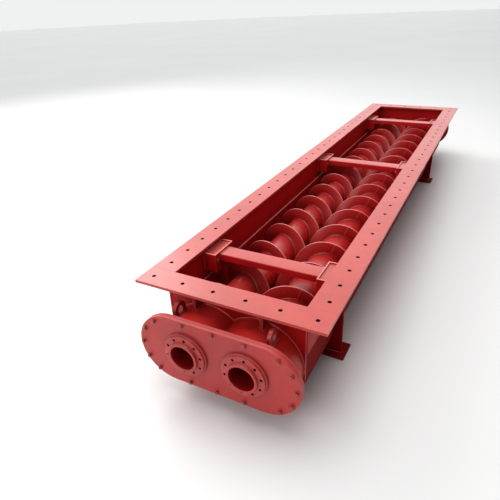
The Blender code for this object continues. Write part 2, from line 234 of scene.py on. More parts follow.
# painted shade: a near-black red standing in for the shade on the outer trough sides and
# the leg plates; the low IOR also cuts their grazing reflection
SHADE_BAND_PAINT = paint("painted_shade_enamel", (0.24, 0.003, 0.004), 0.55, 0.01, 0.40, 1.0, 0.70,
             0.0, 0.5, 0.10, (0.50, 0.15, 0.14), 1.10)
SHELL = paint("shell_enamel", (0.60, 0.016, 0.012), 0.34, 0.02, 0.35, 1.0, 0.72,
              0.05, 0.26, 0.10, (0.72, 0.24, 0.22))
WELD = paint("weld_enamel", (0.52, 0.050, 0.044), 0.34, 0.03, 0.15, 3.0, 0.35,
             0.15, 0.45)
BOLT = paint("bolt_enamel", (0.29, 0.009, 0.008), 0.28, 0.03, 0.45, 0.6, 0.9,
             0.15, 0.50, 0.03, (0.66, 0.20, 0.18))
# painted shade: a dark red with full corner darkening for the bores of the seal flanges
BORE_SHADE_PAINT = paint("bore_shade_enamel", (0.30, 0.003, 0.003), 0.45, 0.0, 0.25, 1.0, 1.0,
             0.0, 0.12, 0.13, (0.60, 0.15, 0.14))
# lugs and gussets: a darker red as painted shade on their faces, with strong pale edges as
# painted highlight
LUG_SHADE_HIGHLIGHT_PAINT = paint("lug_shade_highlight_enamel", (0.36, 0.009, 0.008), 0.32, 0.02, 0.95, 0.8, 0.7,
            0.10, 0.45, 0.05, (0.82, 0.38, 0.36))
TUBE = paint("tube_enamel", (0.42, 0.011, 0.010), 0.28, 0.03, 0.40, 0.8, 0.70,
             0.22, 0.52, 0.07, (0.74, 0.30, 0.28))
# painted highlight: a pale pink on thin up-facing rims where light catches them: flight
# rims, trough ledge tops, bracket rim tops and lug hole walls
HIGHLIGHT_PAINT = paint("painted_highlight_enamel", (0.66, 0.150, 0.135), 0.36, 0.03, 0.30, 1.0, 0.35,
            0.10, 0.50, 0.05, (0.80, 0.40, 0.38))
# painted shade: near black inside drilled holes and on the journal ends deep in the bores
HOLE_SHADE_PAINT = paint("hole_shade_enamel", (0.075, 0.001, 0.001), 0.60, 0.0, 0.25, 1.0,
               0.80, 0.0, 0.06, 0.05, (0.20, 0.03, 0.03))


# -------------------------------------------------------------- mesh building
def fix(bm):
    bmesh.ops.recalc_face_normals(bm, faces=bm.faces[:])
    return bm


def box_bm(lo, hi):
    bm = bmesh.new()
    bmesh.ops.create_cube(bm, size=1.0)
    c = [(a + b) / 2 for a, b in zip(lo, hi)]
    d = [b - a for a, b in zip(lo, hi)]
    bmesh.ops.scale(bm, vec=Vector(d), verts=bm.verts)
    bmesh.ops.translate(bm, vec=Vector(c), verts=bm.verts)
    return fix(bm)


def prism_bm(outline, axis, lo, hi):
    bm = bmesh.new()
    put = {0: lambda a, b, h: (h, a, b), 1: lambda a, b, h: (a, h, b),
           2: lambda a, b, h: (a, b, h)}[axis]
    v0 = [bm.verts.new(put(a, b, lo)) for a, b in outline]
    v1 = [bm.verts.new(put(a, b, hi)) for a, b in outline]
    bm.faces.new(v0)
    bm.faces.new(v1)
    n = len(outline)
    for i in range(n):
        j = (i + 1) % n
        bm.faces.new((v0[i], v0[j], v1[j], v1[i]))
    return fix(bm)


def tube_bm(outer, inner, lo, hi):
    """A wall between two like outlines in x, z, open at both ends."""
    bm = bmesh.new()
    loops = [[bm.verts.new((x, y, z)) for x, z in o]
             for o, y in ((outer, lo), (inner, lo), (inner, hi), (outer, hi))]
    n = len(outer)
    for k in range(4):
        a, b = loops[k], loops[(k + 1) % 4]
        for i in range(n):
            j = (i + 1) % n
            bm.faces.new((a[i], a[j], b[j], b[i]))
    return fix(bm)


def rod_bm(centre, radius, axis, lo, hi, segs):
    return prism_bm([(centre[0] + radius * math.cos(2 * math.pi * i / segs),
                      centre[1] + radius * math.sin(2 * math.pi * i / segs))
                     for i in range(segs)], axis, lo, hi)


def turned_bm(profile, x, z, segs):
    """A closed (radius, y) profile turned round the line through x, z."""
    bm = bmesh.new()
    rings = []
    for i in range(segs):
        a = 2 * math.pi * i / segs
        rings.append([bm.verts.new((x + r * math.cos(a), y, z + r * math.sin(a)))
                      for r, y in profile])
    n = len(profile)
    for i in range(segs):
        p, q = rings[i], rings[(i + 1) % segs]
        for k in range(n):
            m = (k + 1) % n
            bm.faces.new((p[k], p[m], q[m], q[k]))
    return fix(bm)


def add_bm(target, bm):
    """Copy one bmesh into another and free it."""
    vmap = [target.verts.new(v.co) for v in bm.verts]
    for v, i in zip(bm.verts, range(len(vmap))):
        v.index = i
    for f in bm.faces:
        nf = target.faces.new([vmap[v.index] for v in f.verts])
        nf.smooth = f.smooth
    bm.free()
    return target


def merged(parts):
    out = bmesh.new()
    for p in parts:
        add_bm(out, p)
    return out


def boolean(obj, bm, mode="DIFFERENCE"):
    mesh = bpy.data.meshes.new("cutter")
    bm.to_mesh(mesh)
    bm.free()
    tool = bpy.data.objects.new("cutter", mesh)
    bpy.context.collection.objects.link(tool)
    mod = obj.modifiers.new("cut", "BOOLEAN")
    mod.operation = mode
    mod.solver = "EXACT"
    mod.object = tool
    bpy.context.view_layer.update()
    deps = bpy.context.evaluated_depsgraph_get()
    new = bpy.data.meshes.new_from_object(obj.evaluated_get(deps))
    obj.modifiers.remove(mod)
    old = obj.data
    obj.data = new
    bpy.data.meshes.remove(old)
    bpy.data.objects.remove(tool, do_unlink=True)
    bpy.data.meshes.remove(mesh)
    return obj


def raw(name, bm):
    mesh = bpy.data.meshes.new(name)
    bm.to_mesh(mesh)
    bm.free()
    obj = bpy.data.objects.new(name, mesh)
    bpy.context.collection.objects.link(obj)
    return obj


SLOT_OF = {s["node"]: s["material_slot"] for s in frame["record"]["subparts"]}


def dress(obj, slot, body="frame", bevel=0.0015, segs=2, angle=35, smooth=35,
          mat=None, stands_for=()):
    """Material (from the slot unless one is given), rounded edges and shading, then ride on
    the body.
    """
    obj.data.materials.clear()
    obj.data.materials.append(mat or MATS[slot])
    obj.data.shade_smooth()
    if bevel:
        m = obj.modifiers.new("edges", "BEVEL")
        m.width = bevel
        m.segments = segs
        m.limit_method = "ANGLE"
        m.angle_limit = math.radians(angle)
        m.harden_normals = True
        m.use_clamp_overlap = True
    else:
        obj.data.set_sharp_from_angle(angle=math.radians(smooth))
    for n in stands_for:
        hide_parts(n)
    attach(obj, body)
    return obj


def fine(node_name, bm, body="frame", cuts=(), second=None, chosen=None, **kw):
    """The finely meshed piece that stands for one node. Faces for which
    chosen(centre, normal) is true take the second material."""
    obj = raw(node_name + "_skin", bm)
    for c in cuts:
        boolean(obj, c)
    dress(obj, SLOT_OF[node_name], body, stands_for=(node_name,), **kw)
    if second:
        extra = second if isinstance(second, tuple) else (second,)
        for m in extra:
            obj.data.materials.append(m)
        world_of = obj.matrix_world.copy()
        for poly in obj.data.polygons:
            poly.material_index = int(chosen(world_of @ poly.center, poly.normal))
    return obj


def in_holes(centres, radius):
    def chosen(c, n):
        return abs(n.z) < 0.5 and any((c.x - x) ** 2 + (c.y - y) ** 2
                                      < radius ** 2 for x, y in centres)
    return chosen


def arc(cx, cz, r, a0, a1, n):
    return [(cx + r * math.cos(math.radians(a0 + (a1 - a0) * i / n)),
             cz + r * math.sin(math.radians(a0 + (a1 - a0) * i / n)))
            for i in range(n + 1)]


def mirror(outline, side):
    return [(side * x, z) for x, z in outline]


# --------------------------------------------------------------- flange frame
z0, z1 = HEIGHT - BAR_T, HEIGHT
side_pitch = (LENGTH - 2 * HOLE_Y) / SIDE_PITCHES
end_pitch = 2 * HOLE_X / END_PITCHES
for end_name, end in ENDS:
    ya, yb = span(end, 0.0, BAR_W)
    spots = [(-HOLE_X + k * end_pitch, wy(HOLE_Y) * end)
             for k in range(END_PITCHES + 1)]
    holes = merged([rod_bm(xy, HOLE_R + 0.0010, 2, z0 - 0.01, z1 + 0.01, 32)
                    for xy in spots])
    # hole walls take the near-black painted shade
    fine("flange_bar_" + end_name,
         box_bm((-WIDTH / 2, ya, z0), (WIDTH / 2, yb, z1)), cuts=[holes],
         bevel=0.0012, second=HOLE_SHADE_PAINT, chosen=in_holes(spots, HOLE_R + 0.002))
for side_name, side in SIDES:
    xa, xb = sorted((side * (WIDTH / 2 - BAR_W), side * WIDTH / 2))
    ya = wy(BAR_W + GAP)
    spots = [(side * HOLE_X, wy(HOLE_Y + k * side_pitch))
             for k in range(1, SIDE_PITCHES)]
    holes = merged([rod_bm(xy, HOLE_R + 0.0010, 2, z0 - 0.01, z1 + 0.01, 32)
                    for xy in spots])
    # hole walls take the near-black painted shade
    fine("flange_bar_" + side_name, box_bm((xa, ya, z0), (xb, -ya, z1)),
         cuts=[holes], bevel=0.0012, second=HOLE_SHADE_PAINT,
         chosen=in_holes(spots, HOLE_R + 0.002))

# ---------------------------------------------------------- walls and trough
run = (wy(END_WALL_Y + PLATE + GAP), -wy(END_WALL_Y + PLATE + GAP))
for side_name, side in SIDES:
    xa, xb = sorted((side * SKIRT_IN, side * SKIRT_OUT))
    fine("side_wall_" + side_name,
         box_bm((xa, wy(END_WALL_Y), SKIRT_LOW),
                (xb, -wy(END_WALL_Y), WALL_TOP)), bevel=0.0012)


def bed(x, r_corner, r_bed, middle, n=1):
    a = math.degrees(math.acos((AXIS_X - middle) / r_bed))
    return (arc(x - r_corner, CORNER_Z, r_corner, 0, -90, 24 * n)
            + arc(AXIS_X, AXIS_Z, r_bed, -90, -(180 - a), 20 * n))


for side_name, side in SIDES:
    outer = bed(TROUGH_X, CORNER_R, BED_R, GAP / 2)
    inner = bed(TROUGH_X - PLATE, CORNER_R - PLATE, BED_R - PLATE, GAP / 2)
    ring = ([(TROUGH_X, LEDGE_Z)] + outer + list(reversed(inner))
            + [(TROUGH_X - PLATE, LEDGE_Z)])
    # outer trough faces take the near-black painted shade, the ledge top the pale painted
    # highlight, the inside the wall red
    fine("trough_" + side_name, prism_bm(mirror(ring, side), 1, run[0], run[1]),
         bevel=0.0012, angle=45, second=(SHADE_BAND_PAINT, HIGHLIGHT_PAINT),
         chosen=lambda c, n, s=side: (
             2 if n.z > 0.9 and c.z > LEDGE_Z - 0.001
             else (n.x * (c.x - s * AXIS_X) + n.z * (c.z - 0.300)) > 0.02))

for end_name, end in ENDS:
    half = [(TROUGH_X - GAP, WALL_TOP)] + bed(TROUGH_X - GAP, CORNER_R - GAP,
                                              BED_R - GAP, 0.0)
    outline = half + [(-x, z) for x, z in reversed(half[:-1])]
    ya, yb = span(end, END_WALL_Y, END_WALL_Y + PLATE)
    holes = merged([rod_bm((s * AXIS_X, AXIS_Z), SHAFT_R + 0.008, 1,
                           ya - 0.01, yb + 0.01, 72) for _, s in SIDES])
    fine("end_wall_" + end_name, prism_bm(outline, 1, ya, yb), cuts=[holes],
         bevel=0.0012)


# -------------------------------------------------- shroud, flange, end plate
def shroud_outline(inset, low_n=20, top_n=56):
    r = SHROUD_R - inset
    corner = SHROUD_X + SHROUD_R - SHROUD_CORNER_R
    a = math.degrees(math.acos(SHROUD_X / r))
    low = arc(corner, SHROUD_Z, SHROUD_CORNER_R - inset, -90, 0, low_n)
    top = arc(SHROUD_X, SHROUD_Z, r, 0, 180 - a, top_n)
    half = low + top[1:]
    return half + [(-x, z) for x, z in reversed(half[:-1])]


def obround(cx, cz, r, n=48):
    return arc(cx, cz, r, -90, 90, n) + arc(-cx, cz, r, 90, 270, n)


cover_in = SHROUD_END - RING_T - GAP
face = cover_in - COVER_T
for end_name, end in ENDS:
    ya, yb = span(end, SHROUD_END + GAP, END_WALL_Y - GAP)
    fine("shroud_" + end_name,
         tube_bm(shroud_outline(0.0), shroud_outline(PLATE), ya, yb),
         bevel=0.001, angle=60, mat=SHELL)
    ya, yb = span(end, SHROUD_END - RING_T, SHROUD_END)
    fine("end_flange_" + end_name,
         prism_bm(obround(OBR_X, PLATE_Z, OBR_R), 1, ya, yb),
         cuts=[prism_bm(shroud_outline(PLATE), 1, ya - 0.01, yb + 0.01)],
         bevel=0.0022)
    ya, yb = span(end, face, cover_in)
    fine("end_plate_" + end_name,
         prism_bm(obround(OBR_X, PLATE_Z, OBR_R), 1, ya, yb),
         cuts=[merged([rod_bm((s * AXIS_X, AXIS_Z), BUSH_R + GAP, 1,
                              ya - 0.01, yb + 0.01, 64) for _, s in SIDES])],
         bevel=0.0028, segs=3)
    f = face - GAP
    s1, s2 = f - STEP1_T, f - STEP1_T - STEP2_T
    lip = s2 - LIP_T
    c = 0.0018
    prof = [(BORE_R, BUSH_IN), (BUSH_R, BUSH_IN), (BUSH_R, f), (STEP1_R, f),
            (STEP1_R, s1 + c), (STEP1_R - c * 0.3, s1 + c * 0.3),
            (STEP1_R - c, s1), (STEP2_R + 0.0012, s1), (STEP2_R, s1 - 0.0012),
            (STEP2_R, s2 + c), (STEP2_R - c * 0.3, s2 + c * 0.3),
            (STEP2_R - c, s2), (BUSH_R + 0.004, s2),
            (BUSH_R + 0.0012, s2 - 0.0012), (BUSH_R, s2 - 0.004),
            (BUSH_R, lip + 0.0025), (BUSH_R - 0.0007, lip + 0.0007),
            (BUSH_R - 0.0025, lip), (BORE_R + 0.003, lip),
            (BORE_R + 0.0008, lip + 0.0008), (BORE_R, lip + 0.003)]
    for side_name, side in SIDES:
        x = side * AXIS_X
        ya, yb = sorted((end * wy(s2 - 0.004), end * wy(s2 + 0.013)))
        holes = merged([rod_bm((x + 0.0945 * math.cos(k * math.pi / 5 + 0.2),
                                AXIS_Z + 0.0945 * math.sin(k * math.pi / 5 + 0.2)),
                               0.0075, 1, ya, yb, 24) for k in range(10)])
        # bore faces take the dark painted shade, the walls of the ten screw holes the
        # near-black painted shade
        fine("seal_flange_%s_%s" % (end_name, side_name),
             turned_bm([(r, end * wy(y)) for r, y in prof], x, AXIS_Z, 96),
             cuts=[holes], bevel=0, smooth=28, second=(HOLE_SHADE_PAINT, BORE_SHADE_PAINT),
             chosen=lambda c, n, x=x: (
                 2 if math.hypot(c.x - x, c.z - AXIS_Z) < BORE_R + 0.0003
                 else abs(n.y) < 0.3 and 0.0865
                 < math.hypot(c.x - x, c.z - AXIS_Z) < 0.1025))

# ------------------------------------------------------- lugs and gussets
for end_name, end in ENDS:
    ya, yb = span(end, SHROUD_END, END_WALL_Y)
    for side_name, side in SIDES:
        yc = end * wy(LUG_Y)
        foot_z = PLATE_Z + 0.10
        outline = ([(yc + LUG_R + 0.006, foot_z)]
                   + arc(yc, LUG_HOLE_Z, LUG_R, 0, 180, 40)
                   + [(yc - LUG_R - 0.006, foot_z)])
        xc = side * LUG_X
        tube = shroud_outline(-GAP)
        # the lug takes the darker painted-shade red with pale painted-highlight edges, and
        # its hole wall the pale painted highlight
        fine("lifting_lug_%s_%s" % (end_name, side_name),
             prism_bm(outline, 0, xc - LUG_T / 2, xc + LUG_T / 2),
             cuts=[rod_bm((yc, LUG_HOLE_Z), LUG_HOLE_R, 0, xc - 0.03, xc + 0.03,
                          48),
                   prism_bm(tube, 1, ya - 0.05, yb + 0.05)],
             bevel=0.0028, segs=3, mat=LUG_SHADE_HIGHLIGHT_PAINT, second=HIGHLIGHT_PAINT,
             chosen=lambda c, n, y=yc: abs(n.x) < 0.5 and math.hypot(
                 c.y - y, c.z - LUG_HOLE_Z) < LUG_HOLE_R + 0.001)
        ga, gb = span(end, GUSSET_Y, END_WALL_Y - GAP)
        gx = side * GUSSET_X
        # gussets take the same darker painted-shade red with pale painted-highlight edges
        fine("gusset_%s_%s" % (end_name, side_name),
             box_bm((gx - GUSSET_T / 2, ga, PLATE_Z + 0.15),
                    (gx + GUSSET_T / 2, gb, WALL_TOP)),
             cuts=[prism_bm(tube, 1, ya - 0.05, yb + 0.05)], bevel=0.0022,
             mat=LUG_SHADE_HIGHLIGHT_PAINT)

# ------------------------------------------------------- braces and brackets
NAMES = ("front", "middle", "rear")
for where, y in zip(NAMES, BRACE_Y):
    yc = wy(y)
    w, t, h, top, r = BRACE_W / 2, BRACE_T, BRACE_H, BRACE_TOP, 0.007
    right = [(yc + w - t, top - h), (yc + w, top - h), (yc + w, top - r)]
    right += [(yc + w - r + r * math.cos(a), top - r + r * math.sin(a))
              for a in (math.radians(15 * k) for k in range(1, 7))]
    left = [(2 * yc - a, b) for a, b in reversed(right)]
    inner = [(yc - w + t, top - t), (yc + w - t, top - t)]
    channel = right + left + inner
    xe = BRACKET_IN - GAP
    # down and side faces take the duller wall red as painted shade
    fine("brace_" + where, prism_bm(channel, 0, -xe, xe), bevel=0.0010,
         angle=50, second=MATS["wall_paint"],
         chosen=lambda c, n: n.z < 0.45)
    for side_name, side in SIDES:
        xa, xb = sorted((side * BRACKET_IN, side * (SKIRT_IN - GAP)))
        ya, yb = yc - BRACKET_L / 2, yc + BRACKET_L / 2
        rim = BRACKET_RIM
        # rim tops take the pale painted highlight; sides and underside the duller wall red
        # as painted shade
        fine("bracket_%s_%s" % (where, side_name),
             box_bm((xa, ya, BRACKET_TOP - BRACKET_H), (xb, yb, BRACKET_TOP)),
             cuts=[box_bm((xa + rim, ya + rim, BRACKET_TOP - BRACKET_DIP),
                          (xb - rim, yb - rim, BRACKET_TOP + 0.01))],
             bevel=0.0022, segs=3, second=(MATS["wall_paint"], HIGHLIGHT_PAINT),
             chosen=lambda c, n: (2 if n.z > 0.5 and c.z > BRACKET_TOP - 0.002
                                  else n.z < 0.5))

# --------------------------------------------------------------------- legs
legs_at = []
for where, y, shift in (("front", LEG_Y[0], 1.0), ("rear", LEG_Y[1], -1.0)):
    yc = wy(y)
    for side_name, side in SIDES:
        a_end = -80.0
        r = CORNER_R + 2 * GAP
        cradle = arc(TROUGH_X - CORNER_R, CORNER_Z, r, 0, a_end, 36)
        outline = ([(LEG_OUT, WALL_TOP), (SKIRT_OUT + GAP, WALL_TOP),
                    (SKIRT_OUT + GAP, SKIRT_LOW - GAP),
                    (TROUGH_X + GAP, SKIRT_LOW - GAP)] + cradle
                   + [(cradle[-1][0], FOOT_T), (LEG_OUT, FOOT_T)])
        leg = prism_bm(mirror(outline, side), 1, yc - LEG_T / 2, yc + LEG_T / 2)
        xa, xb = sorted((side * FOOT_X[0], side * FOOT_X[1]))
        fy = yc + shift * FOOT_SHIFT
        foot = box_bm((xa, fy - FOOT_L / 2, 0.0), (xb, fy + FOOT_L / 2, FOOT_T))
        # legs take the near-black red as painted shade
        fine("leg_%s_%s" % (where, side_name), merged([leg, foot]),
             bevel=0.0016, mat=SHADE_BAND_PAINT)
        legs_at.append((side, yc, cradle[-1][0]))


# ------------------------------------------------------------------- screws
def helix_bm(x, hand, y_top, profile, segs, y_pad=0.0):
    """Sweep a closed (radius, along) profile on a helix round the axis."""
    bm = bmesh.new()
    ya = wy(FLIGHT_START) + FLIGHT_T / 2 - y_pad
    yb = -ya
    steps = int(round((yb - ya) / PITCH * segs))
    prev = first = None
    n = len(profile)
    for i in range(steps + 1):
        y = ya + (yb - ya) * i / steps
        ang = math.pi / 2 + hand * 2 * math.pi * (y - wy(y_top)) / PITCH
        c, s = math.cos(ang), math.sin(ang)
        loop = [bm.verts.new((x + r * c, y + d, AXIS_Z + r * s))
                for r, d in profile]
        if prev:
            for k in range(n):
                m = (k + 1) % n
                bm.faces.new((prev[k], prev[m], loop[m], loop[k]))
        else:
            first = loop
        prev = loop
    bm.faces.new(first)
    bm.faces.new(list(reversed(prev)))
    return fix(bm)


T2 = FLIGHT_T / 2
for side_name, side in SIDES:
    body = "screw_" + side_name
    x = side * AXIS_X
    hand = -side
    y_top = PHASE_RIGHT if side > 0 else PHASE_LEFT
    # shaft with turned journals; the journal ends deep in the bores take the near-black
    # painted shade
    ys, yj = wy(SHAFT_END), wy(JOURNAL_END)
    c = 0.004
    prof = [(0.0, yj + 0.012), (0.010, yj + 0.012), (0.016, yj),
            (JOURNAL_R - 0.002, yj), (JOURNAL_R, yj + 0.002),
            (JOURNAL_R, ys - 0.0005), (SHAFT_R - c, ys), (SHAFT_R, ys + c)]
    full = prof + [(r, -y) for r, y in reversed(prof)]
    bm = bmesh.new()
    segs = 128
    rings = []
    for r, y in full[1:-1]:
        rings.append([bm.verts.new((x + r * math.cos(2 * math.pi * i / segs), y,
                                    AXIS_Z + r * math.sin(2 * math.pi * i / segs)))
                      for i in range(segs)])
    for a, b in zip(rings, rings[1:]):
        for i in range(segs):
            j = (i + 1) % segs
            bm.faces.new((a[i], a[j], b[j], b[i]))
    bm.faces.new(rings[0])
    bm.faces.new(rings[-1])
    fine("shaft_" + side_name, fix(bm), body=body, bevel=0, smooth=30, mat=TUBE,
         second=HOLE_SHADE_PAINT,
         chosen=lambda c, n: abs(c.y) > -(wy(JOURNAL_END + 0.02)))
    # flighting with eased edges; the outer rim face takes the pale painted highlight
    e = 0.0012
    ribbon = [(SHAFT_R - 0.0006, -T2), (FLIGHT_R - e, -T2),
              (FLIGHT_R - e * 0.3, -T2 + e * 0.3), (FLIGHT_R, -T2 + e),
              (FLIGHT_R, T2 - e), (FLIGHT_R - e * 0.3, T2 - e * 0.3),
              (FLIGHT_R - e, T2), (SHAFT_R - 0.0006, T2)]
    fine("flighting_" + side_name, helix_bm(x, hand, y_top, ribbon, 90),
         body=body, bevel=0, smooth=32, second=HIGHLIGHT_PAINT,
         chosen=lambda c, n, x=x: math.hypot(c.x - x, c.z - AXIS_Z)
         > FLIGHT_R - 0.0011)
    # fillet welds that run along both roots of the flighting
    parts = []
    for s in (1, -1):
        tri = [(SHAFT_R - 0.0012, s * (T2 - 0.001)),
               (SHAFT_R + 0.0052, s * (T2 - 0.001)),
               (SHAFT_R + 0.0050, s * (T2 + 0.0006)),
               (SHAFT_R + 0.0028, s * (T2 + 0.0036)),
               (SHAFT_R + 0.0008, s * (T2 + 0.0056)),
               (SHAFT_R - 0.0012, s * (T2 + 0.0058))]
        parts.append(helix_bm(x, hand, y_top, tri, 90))
    roots = raw("root_welds_" + side_name, merged(parts))
    dress(roots, "screw_paint", body, bevel=0, smooth=60)
    parts = []
    # butt welds between the pressed turns, one to a pitch
    seam = math.radians(68.0 if side > 0 else -62.0)
    turn = (seam - math.pi / 2) / (2 * math.pi) * PITCH * hand
    k0 = int(math.ceil((FLIGHT_START + 0.03 - y_top - turn) / PITCH))
    k = k0
    while True:
        yy = y_top + turn + k * PITCH
        if yy > LENGTH - FLIGHT_START - 0.03:
            break
        bm = bmesh.new()
        ca, sa = math.cos(seam), math.sin(seam)
        slope = hand * PITCH / (2 * math.pi)
        rows = []
        for r in (SHAFT_R + 0.003, 0.120, 0.145, FLIGHT_R - 0.003):
            row = []
            for u, d in ((-0.0042, T2 - 0.0006), (-0.0022, T2 + 0.0011),
                         (0.0022, T2 + 0.0011), (0.0042, T2 - 0.0006),
                         (0.0042, -T2 + 0.0006), (0.0022, -T2 - 0.0011),
                         (-0.0022, -T2 - 0.0011), (-0.0042, -T2 + 0.0006)):
                da = u / r
                row.append(bm.verts.new((x + r * math.cos(seam + da),
                                         wy(yy) + slope * da + d,
                                         AXIS_Z + r * math.sin(seam + da))))
            rows.append(row)
        for a, b in zip(rows, rows[1:]):
            for i in range(8):
                j = (i + 1) % 8
                bm.faces.new((a[i], a[j], b[j], b[i]))
        bm.faces.new(rows[0])
        bm.faces.new(rows[-1])
        parts.append(fix(bm))
        k += 1
    welds = raw("seam_welds_" + side_name, merged(parts))
    dress(welds, "screw_paint", body, bevel=0, smooth=60, mat=WELD)


# ------------------------------------------------------------- weld beads
def bead_bm(points, radius, closed=False, sides=8, ripple=0.10, step=0.006):
    """A rippled weld bead along a path."""
    pts = [Vector(p) for p in points]
    if closed:
        pts.append(pts[0])
    # walk the path in equal steps
    dist = [0.0]
    for a, b in zip(pts, pts[1:]):
        dist.append(dist[-1] + (b - a).length)
    n = max(2, int(dist[-1] / step))
    walk, k = [], 0
    for i in range(n + (0 if closed else 1)):
        d = dist[-1] * i / n
        while k < len(dist) - 2 and dist[k + 1] < d:
            k += 1
        f = (d - dist[k]) / max(1e-9, dist[k + 1] - dist[k])
        walk.append(pts[k].lerp(pts[k + 1], min(1.0, max(0.0, f))))
    bm = bmesh.new()
    loops = []
    m = len(walk)
    for i, p in enumerate(walk):
        a = walk[(i - 1) % m] if closed or i > 0 else walk[i]
        b = walk[(i + 1) % m] if closed or i < m - 1 else walk[i]
        tan = (b - a).normalized()
        ref = Vector((0, 0, 1)) if abs(tan.z) < 0.8 else Vector((0, 1, 0))
        u = tan.cross(ref).normalized()
        v = tan.cross(u).normalized()
        r = radius * (1.0 + ripple * math.sin(i * 2.4) + 0.05 * math.sin(i * 0.37))
        if not closed and i in (0, m - 1):
            r *= 0.55
        loops.append([bm.verts.new(p + (u * math.cos(2 * math.pi * j / sides)
                                        + v * math.sin(2 * math.pi * j / sides)) * r)
                      for j in range(sides)])
    pairs = list(zip(loops, loops[1:]))
    if closed:
        pairs.append((loops[-1], loops[0]))
    for a, b in pairs:
        for j in range(sides):
            q = (j + 1) % sides
            bm.faces.new((a[j], a[q], b[q], b[j]))
    if not closed:
        bm.faces.new(loops[0])
        bm.faces.new(loops[-1])
    return fix(bm)


beads = []
long_a, long_b = wy(END_WALL_Y), -wy(END_WALL_Y)
for side_name, side in SIDES:
    # flange to wall, outside and inside, and wall to trough below the lap
    x = side * (SKIRT_OUT + 0.0005)
    beads.append(("under", bead_bm([(x, long_a, WALL_TOP + 0.0002),
                                    (x, long_b, WALL_TOP + 0.0002)], 0.0045,
                                   step=0.016)))
    x = side * (TROUGH_X + 0.0005)
    beads.append(("lap", bead_bm([(x, run[0] + 0.004, SKIRT_LOW - 0.0002),
                                  (x, run[1] - 0.004, SKIRT_LOW - 0.0002)],
                                 0.0038, step=0.016)))
    x = side * (SKIRT_IN - 0.0002)
    beads.append(("ledge", bead_bm([(x, run[0], LEDGE_Z + 0.0005),
                                    (x, run[1], LEDGE_Z + 0.0005)], 0.0026,
                                   step=0.016)))
for end_name, end in ENDS:
    ring = []
    # shroud to end wall and shroud to its flange, round the arches
    loop = shroud_outline(-0.0012, 24, 72)
    for yy, rad in ((END_WALL_Y - 0.0005, 0.0042), (SHROUD_END + 0.0005, 0.0036)):
        y = end * wy(yy)
        ring.append(bead_bm([(px, y, pz) for px, pz in loop], rad, closed=True))
    # end wall to flange bar, between the gussets
    y = end * wy(END_WALL_Y - 0.0005)
    ring.append(bead_bm([(-TROUGH_X + 0.002, y, WALL_TOP), (TROUGH_X - 0.002, y, WALL_TOP)],
                        0.0042, step=0.012))
    for side_name, side in SIDES:
        x = side * (TROUGH_X - 0.001)
        ring.append(bead_bm([(x, y + end * -0.0004, WALL_TOP - 0.004),
                             (x, y + end * -0.0004, CORNER_Z)], 0.0030,
                            step=0.010))
        # lug feet and gusset feet on the shroud
        for s in (1, -1):
            xs = side * LUG_X + s * (LUG_T / 2 + 0.0004)
            zs = SHROUD_Z + math.sqrt((SHROUD_R + 0.001) ** 2
                                      - (abs(xs) - SHROUD_X) ** 2)
            yc = end * wy(LUG_Y)
            ring.append(bead_bm([(xs, yc - LUG_R - 0.004, zs),
                                 (xs, yc + LUG_R + 0.004, zs)], 0.0036))
            xs = side * GUSSET_X + s * (GUSSET_T / 2 + 0.0003)
            zs = SHROUD_Z + math.sqrt((SHROUD_R + 0.001) ** 2
                                      - (abs(xs) - SHROUD_X) ** 2)
            ga, gb = end * wy(GUSSET_Y), end * wy(END_WALL_Y - 0.002)
            ring.append(bead_bm([(xs, ga, zs), (xs, gb, zs)], 0.0032))
            ring.append(bead_bm([(xs, gb, zs), (xs, gb, WALL_TOP - 0.002)],
                                0.0030))
    obj = raw("end_welds_" + end_name, merged(ring))
    dress(obj, "end_paint", bevel=0, smooth=60, mat=WELD)
obj = raw("wall_welds", merged([b for _, b in beads]))
dress(obj, "wall_paint", bevel=0, smooth=60, mat=WELD)

# brackets to walls, braces to brackets, legs to feet
parts = []
for y in BRACE_Y:
    yc = wy(y)
    for _, side in SIDES:
        xw = side * (SKIRT_IN - 0.0004)
        for yy in (yc - BRACKET_L / 2 - 0.0002, yc + BRACKET_L / 2 + 0.0002):
            parts.append(bead_bm([(xw, yy, BRACKET_TOP - 0.002),
                                  (xw, yy, BRACKET_TOP - BRACKET_H + 0.002)],
                                 0.0036))
        xb = side * (BRACKET_IN - 0.0004)
        z = BRACE_TOP
        parts.append(bead_bm([(xb, yc - BRACE_W / 2 - 0.0005, z - BRACE_H + 0.003),
                              (xb, yc - BRACE_W / 2 - 0.0005, z - 0.004)],
                             0.0028))
        parts.append(bead_bm([(xb, yc - BRACE_W / 2 + 0.004, z + 0.0003),
                              (xb, yc + BRACE_W / 2 - 0.004, z + 0.0003)],
                             0.0028))
        parts.append(bead_bm([(xb, yc + BRACE_W / 2 + 0.0005, z - BRACE_H + 0.003),
                              (xb, yc + BRACE_W / 2 + 0.0005, z - 0.004)],
                             0.0028))
for side, yc, x_in in legs_at:
    for s in (1, -1):
        yy = yc + s * (LEG_T / 2 + 0.0003)
        parts.append(bead_bm([(side * x_in, yy, FOOT_T + 0.0004),
                              (side * LEG_OUT, yy, FOOT_T + 0.0004)], 0.0038))
        parts.append(bead_bm([(side * (SKIRT_OUT + 0.0004), yy, WALL_TOP - 0.004),
                              (side * (SKIRT_OUT + 0.0004), yy, SKIRT_LOW + 0.003)],
                             0.0034))
        parts.append(bead_bm([(side * (SKIRT_OUT + 0.006), yy, WALL_TOP),
                              (side * (LEG_OUT - 0.001), yy, WALL_TOP)], 0.0034))
obj = raw("frame_welds", merged(parts))
dress(obj, "frame_paint", bevel=0, smooth=60, mat=WELD)


